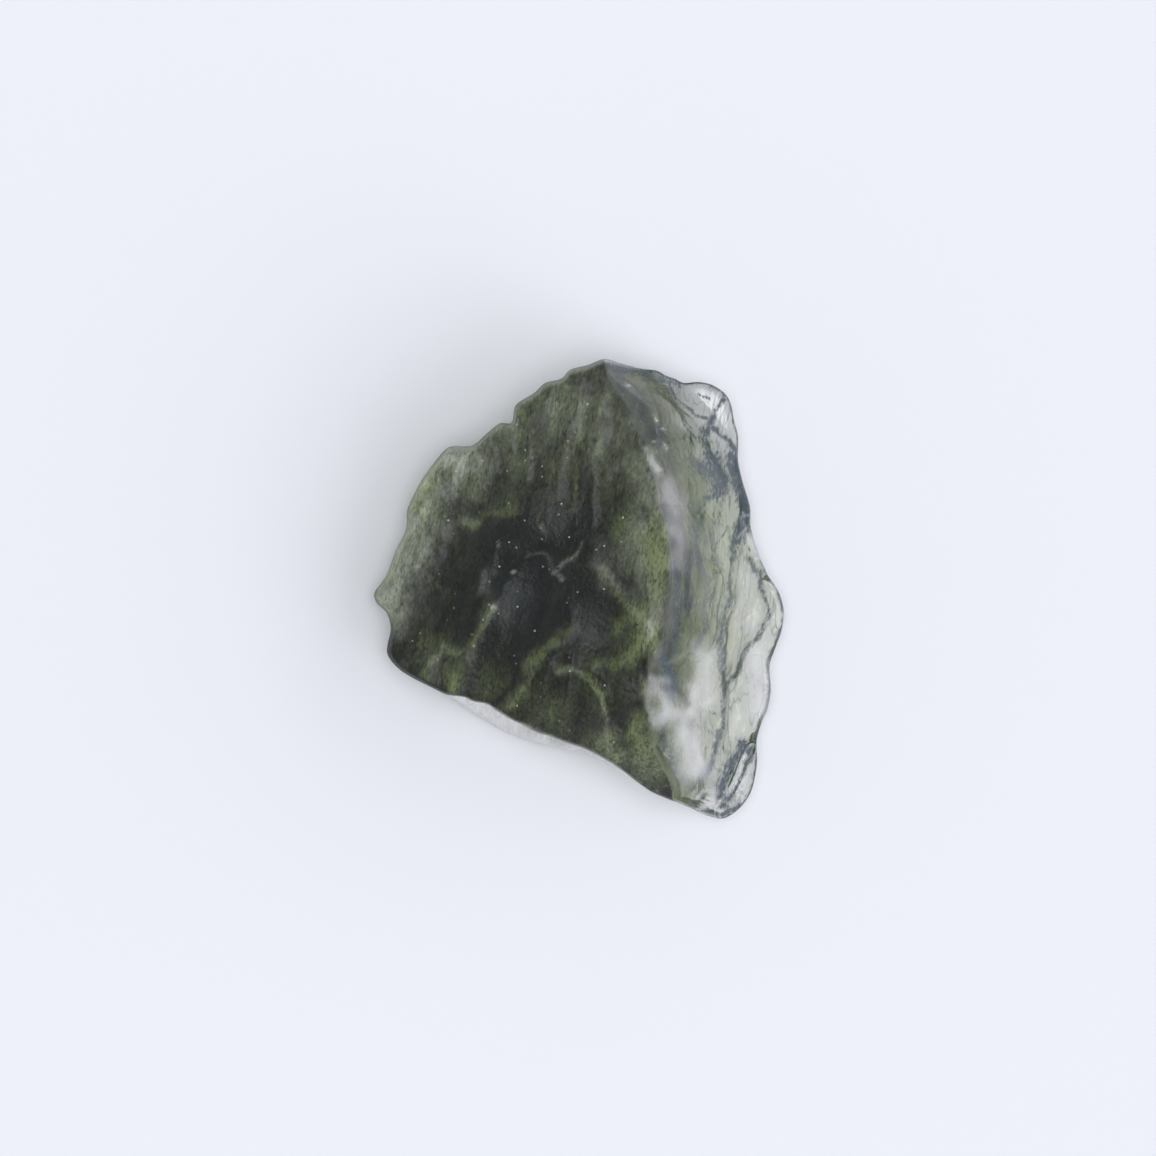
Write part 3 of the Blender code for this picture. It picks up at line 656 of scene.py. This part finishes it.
glassLook = {
    "ior": 1.49,
    "etchedRoughness": 0.45,
    "fractureRoughness": 0.06,
    "absorptionColor": (0.648, 0.725, 0.25),
    "absorptionDensity": 170.0,
    "skinTint": (0.92, 1.0, 0.76),      # colour of the etched skin, darkened by its clearness
    "paleLayerColor": (0.81, 0.80, 0.83),    # pale layer on the fracture: painted highlights and reflections of the lamps, and the pale film of the low shelf
    "skinPaleLayer": (0.72, 0.76, 0.66),     # the same on the etched skin: its haze and painted sheen
    "paleLayerFinish": (0.6, 0.2),           # roughness and specular level of the pale layer
    "darkLayerColor": (0.05, 0.072, 0.09),  # dark layer: painted shade of the bands and the outline, and the fracture's dark seams
    "darkLayerDeep": (0.018, 0.024, 0.028),  # the same on the etched skin
    "darkLayerFinish": (0.5, 0.05),         # roughness and specular level of the dark layer
    "darkLayerCover": 0.85,                 # how much of the glass the dark layer hides
    "shadeBand": (0.08, 0.95),          # painted shade where the dark layer begins and is full
    "shadeCore": (0.55, 0.90),          # the same for its darker middle
    "bandFray": 1.6,                    # how much the fibres break the film up
    "coreFray": 2.6,
    "bumpDepth": 0.00003,
    "grainSize": 0.00016,
    "fibreSize": 0.00011,               # across the fine fibres; they are longer along the grain
    "fibreStretch": 2.1,
    "fibreContrast": 3.2,
    "glintSpacing": 0.00034,               # spacing of the painted glints
    "glintEdge": (0.15, 0.04),          # distance, in spacings, where one fades and is full
    "glintStrength": 0.8,
    "seamSize": 0.0011,                 # spacing of the fine dark lines
    "seamStretch": 5.0,
    "seamTurn": 8.0,                    # degrees from the grain
    "seamWidth": 0.018,
    "seamStrength": 0.34,               # on the fracture
    "skinSeams": 0.5,                   # how much they darken the etched skin
}


# eased ramp of a value, from 0 at the first bound to 1 at the second
def ramp(nodes, value, bounds):
    node = nodes.add("ShaderNodeMapRange", {"interpolation_type": "SMOOTHSTEP"}, Value=value)
    node.inputs["From Min"].default_value, node.inputs["From Max"].default_value = bounds
    return Number(nodes, node.outputs["Result"])


# mix of two fixed colours by a factor; 6 and 7 are the Mix node's colour sockets
def blendHue(nodes, factor, first, second):
    mix = nodes.add("ShaderNodeMix", {"data_type": "RGBA"})
    nodes.feed(mix.inputs["Factor"], factor)
    mix.inputs[6].default_value = (*first, 1.0)
    mix.inputs[7].default_value = (*second, 1.0)
    return mix.outputs[2]


# place on the stone, turned to a bearing and shortened along it, so that noise comes out stretched
def alongGrain(nodes, place, bearing, stretch):
    turned = nodes.add("ShaderNodeMapping", {"vector_type": "TEXTURE"}, Vector=place)
    turned.inputs["Rotation"].default_value = (0.0, 0.0, math.radians(bearing))
    turned.inputs["Scale"].default_value = (stretch, 1.0, 1.0)
    return turned.outputs["Vector"]


# dull layer of one finish, laid over the glass for painted shade and for painted sheen, coloured by how
# etched the glass is
def dullLayer(nodes, color, finish):
    film = nodes.add("ShaderNodeBsdfPrincipled")
    nodes.feed(film.inputs["Base Color"], color)
    film.inputs["Roughness"].default_value, film.inputs["Specular IOR Level"].default_value = finish
    return film.outputs[0]


# green glass: etched skin is satin, the fracture is glossy, and depth gives the colour, with painted light
# and shade in the base colour and in the layers over it
def moldaviteGlass():
    material = bpy.data.materials.new("moldaviteGlass")
    material.use_nodes = True
    tree = material.node_tree
    nodes = NodeSet(tree)
    shader = tree.nodes["Principled BSDF"]
    output = tree.nodes["Material Output"]
    etched, clearAndPaintedLight, hazeAndPaintedSheen, paintedShade = (
        Number(nodes, nodes.add("ShaderNodeAttribute", {"attribute_name": name}).outputs["Fac"])
        for name in ("etched", "clearAndPaintedLight", "hazeAndPaintedSheen", "paintedShade"))
    place = nodes.add("ShaderNodeTexCoord").outputs["Object"]
    span = glassLook["etchedRoughness"] - glassLook["fractureRoughness"]
    nodes.feed(shader.inputs["Roughness"], glassLook["fractureRoughness"] + span * etched)

    # fine fibres along the grain, and thin dark seams nearly along it
    bearing = skinRelief["grainBearing"]
    fibrePlace = alongGrain(nodes, place, bearing, glassLook["fibreStretch"])
    fibre = nodes.add("ShaderNodeTexNoise", Vector=fibrePlace, Scale=1.0 / glassLook["fibreSize"],
                      Detail=4.0, Roughness=0.65)
    streak = Number(nodes, fibre.outputs["Fac"]) - 0.5
    seamPlace = alongGrain(nodes, place, bearing + glassLook["seamTurn"], glassLook["seamStretch"])
    fold = nodes.add("ShaderNodeTexNoise", Vector=seamPlace, Scale=1.0 / glassLook["seamSize"],
                     Detail=3.0, Roughness=0.6)
    fromFold = nodes.math("ABSOLUTE", Number(nodes, fold.outputs["Fac"]) - 0.5, 0.0)
    seam = ramp(nodes, fromFold, (glassLook["seamWidth"], 0.0))

    # base colour: white on the fracture, the skin's tint elsewhere, times the clearness squared, which
    # carries painted light and shade
    clearAndPaintedLight = clearAndPaintedLight * (1.0 + glassLook["fibreContrast"] * streak * etched)
    clearAndPaintedLight = clearAndPaintedLight * (1.0 - glassLook["skinSeams"] * seam * etched)
    tint = nodes.add("ShaderNodeMix", {"data_type": "RGBA"})
    nodes.feed(tint.inputs["Factor"], clearAndPaintedLight * clearAndPaintedLight)
    tint.inputs[6].default_value = (0.0, 0.0, 0.0, 1.0)
    nodes.feed(tint.inputs[7], blendHue(nodes, etched, (1.0, 1.0, 1.0), glassLook["skinTint"]))
    nodes.feed(shader.inputs["Base Color"], tint.outputs[2])

    # painted glints: bright specks near some of the points of a cell pattern
    glintCells = nodes.add("ShaderNodeTexVoronoi", Vector=place, Scale=1.0 / glassLook["glintSpacing"])
    near = nodes.add("ShaderNodeMapRange", Value=glintCells.outputs["Distance"])
    near.inputs["From Min"].default_value, near.inputs["From Max"].default_value = glassLook["glintEdge"]
    chance = nodes.add("ShaderNodeSeparateXYZ", Vector=glintCells.outputs["Color"]).outputs["X"]
    rare = nodes.math("MAXIMUM", 1.7 * Number(nodes, chance) - 0.7, 0.0)
    glint = Number(nodes, near.outputs["Result"]) * rare * etched

    # bump: fine tooth and fibres, strong on the skin and faint on the fracture
    fine = nodes.add("ShaderNodeTexNoise", Vector=place, Scale=1.0 / glassLook["grainSize"], Detail=3.0)
    tooth = Number(nodes, fine.outputs["Fac"]) * (0.04 + 0.96 * etched)
    tooth = tooth + 0.5 * streak * (0.1 + 0.9 * etched)
    bump = nodes.add("ShaderNodeBump", Distance=glassLook["bumpDepth"])
    nodes.feed(bump.inputs["Height"], tooth + 0.3 * glint)
    nodes.feed(shader.inputs["Normal"], bump.outputs["Normal"])
    shader.inputs["IOR"].default_value = glassLook["ior"]
    shader.inputs["Transmission Weight"].default_value = 1.0
    depth = nodes.add("ShaderNodeVolumeAbsorption")
    depth.inputs["Color"].default_value = (*glassLook["absorptionColor"], 1.0)
    depth.inputs["Density"].default_value = glassLook["absorptionDensity"]
    nodes.feed(output.inputs["Volume"], depth.outputs[0])

    # dark layer of painted shade where the marks put it, broken up by the fibres, and the dark seams of
    # the fracture
    band = ramp(nodes, paintedShade + glassLook["bandFray"] * streak, glassLook["shadeBand"])
    core = ramp(nodes, paintedShade + glassLook["coreFray"] * streak, glassLook["shadeCore"])
    shade = nodes.math("MINIMUM", 4.0 * paintedShade, 1.0) * (0.7 * band + 0.3 * core)
    shade = nodes.math("MAXIMUM", shade, glassLook["seamStrength"] * seam * clearAndPaintedLight * (1.0 - etched))
    dark = dullLayer(nodes, blendHue(nodes, etched, glassLook["darkLayerColor"], glassLook["darkLayerDeep"]),
                      glassLook["darkLayerFinish"])
    darkened = nodes.add("ShaderNodeMixShader")
    nodes.feed(darkened.inputs[0], glassLook["darkLayerCover"] * shade)
    nodes.feed(darkened.inputs[1], shader.outputs[0])
    nodes.feed(darkened.inputs[2], dark)

    # pale layer over it: haze, painted sheen and painted highlights, also broken up by the fibres, and the
    # painted glints
    paleLayer = dullLayer(nodes, blendHue(nodes, etched, glassLook["paleLayerColor"], glassLook["skinPaleLayer"]),
                       glassLook["paleLayerFinish"])
    cover = nodes.add("ShaderNodeMixShader")
    covered = hazeAndPaintedSheen * (1.0 + (0.6 + 2.4 * etched) * streak)
    nodes.feed(cover.inputs[0], covered + glassLook["glintStrength"] * glint)
    nodes.feed(cover.inputs[1], darkened.outputs[0])
    nodes.feed(cover.inputs[2], paleLayer)
    nodes.feed(output.inputs["Surface"], cover.outputs[0])
    return material


floorLook = {
    "reach": 0.6,                       # metres each way
    "color": (0.845, 0.855, 0.887),
    "roughness": 0.6,
    "specular": 0.2,
}


# a flat pale sheet, wider than any view of the stone
def paleFloor():
    reach = floorLook["reach"]
    mesh = bpy.data.meshes.new("paleFloor")
    mesh.from_pydata([(-reach, -reach, 0), (reach, -reach, 0), (reach, reach, 0), (-reach, reach, 0)], [],
                     [(0, 1, 2, 3)])
    material = bpy.data.materials.new("palePaper")
    material.use_nodes = True
    shader = material.node_tree.nodes["Principled BSDF"]
    shader.inputs["Base Color"].default_value = (*floorLook["color"], 1.0)
    shader.inputs["Roughness"].default_value = floorLook["roughness"]
    shader.inputs["Specular IOR Level"].default_value = floorLook["specular"]
    mesh.materials.append(material)
    floor = bpy.data.objects.new("paleFloor", mesh)
    bpy.context.scene.collection.objects.link(floor)


skyLook = {
    "strength": 0.88,
    "top": (0.12, 0.12, 0.13),          # radiance straight above
    "edge": (0.74, 0.76, 0.79),         # radiance of the walls
    "rise": (0.35, 0.62),               # heights where the walls end and the dark top begins
    # soft lamps: bearing from east, height in degrees, half width, blur, radiance
    "softboxes": [
        (0.0, 89.0, 12.0, 12.0, (6.35, 6.5, 6.75)),
        (-10.0, 12.0, 30.0, 28.0, (2.2, 2.2, 2.3)),
        (-45.0, 50.0, 15.0, 8.0, (1.3, 1.27, 1.42)),
    ],
}


# sky that brightens towards the horizon, plus a round soft lamp for each softbox: an eased step of
# the cosine of the angle from the lamp's middle
def studioLight():
    world = bpy.data.worlds.new("studioSky")
    bpy.context.scene.world = world
    world.use_nodes = True
    tree = world.node_tree
    nodes = NodeSet(tree)
    facing = nodes.add("ShaderNodeTexCoord").outputs["Generated"]
    height = nodes.add("ShaderNodeSeparateXYZ", Vector=facing).outputs["Z"]
    color = blendHue(nodes, ramp(nodes, height, skyLook["rise"]), skyLook["edge"], skyLook["top"])
    for bearing, lift, half, blur, radiance in skyLook["softboxes"]:
        flat = math.cos(math.radians(lift))
        aim = (flat * math.cos(math.radians(bearing)), flat * math.sin(math.radians(bearing)),
               math.sin(math.radians(lift)))
        match = nodes.add("ShaderNodeVectorMath", {"operation": "DOT_PRODUCT"})
        nodes.feed(match.inputs[0], facing)
        match.inputs[1].default_value = aim
        bounds = [math.cos(math.radians(angle)) for angle in (half + blur, max(half - blur, 0.0))]
        glow = nodes.add("ShaderNodeMix", {"data_type": "RGBA", "blend_type": "ADD"})
        nodes.feed(glow.inputs["Factor"], ramp(nodes, match.outputs["Value"], bounds))
        nodes.feed(glow.inputs[6], color)
        glow.inputs[7].default_value = (*radiance, 1.0)
        color = glow.outputs[2]
    nodes.feed(tree.nodes["Background"].inputs["Color"], color)
    tree.nodes["Background"].inputs["Strength"].default_value = skyLook["strength"]


cameraLook = {
    "height": 300.0,
    "rimHeight": 2.0,                   # height at which the photo's scale holds
    "sensor": 36.0,
}


# long lens straight above: focal length = sensor width x distance to the rim / width of the view
def photoCamera():
    middle = photoFrame["pixels"] / 2.0
    x = (middle - photoFrame["stoneCentre"][0]) * photoFrame["pixelSize"]
    y = (photoFrame["stoneCentre"][1] - middle) * photoFrame["pixelSize"]
    width = photoFrame["pixels"] * photoFrame["pixelSize"]
    lens = bpy.data.cameras.new("photoCamera")
    lens.sensor_width = cameraLook["sensor"]
    lens.lens = lens.sensor_width * (cameraLook["height"] - cameraLook["rimHeight"]) / width
    lens.clip_start = 0.01
    camera = bpy.data.objects.new("photoCamera", lens)
    camera.location = (x * mm, y * mm, cameraLook["height"] * mm)
    bpy.context.scene.collection.objects.link(camera)
    bpy.context.scene.camera = camera
    bpy.context.scene.view_settings.view_transform = "Standard"


photoCamera()
paleFloor()
studioLight()
print("studio is set")

mesh = stoneMesh()
mesh.materials.append(moldaviteGlass())
stone = bpy.data.objects.new("rawMoldavite", mesh)
bpy.context.scene.collection.objects.link(stone)
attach(stone, "root")
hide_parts("moldavite")
print("stone has", 2 * len(mesh.polygons), "triangles")
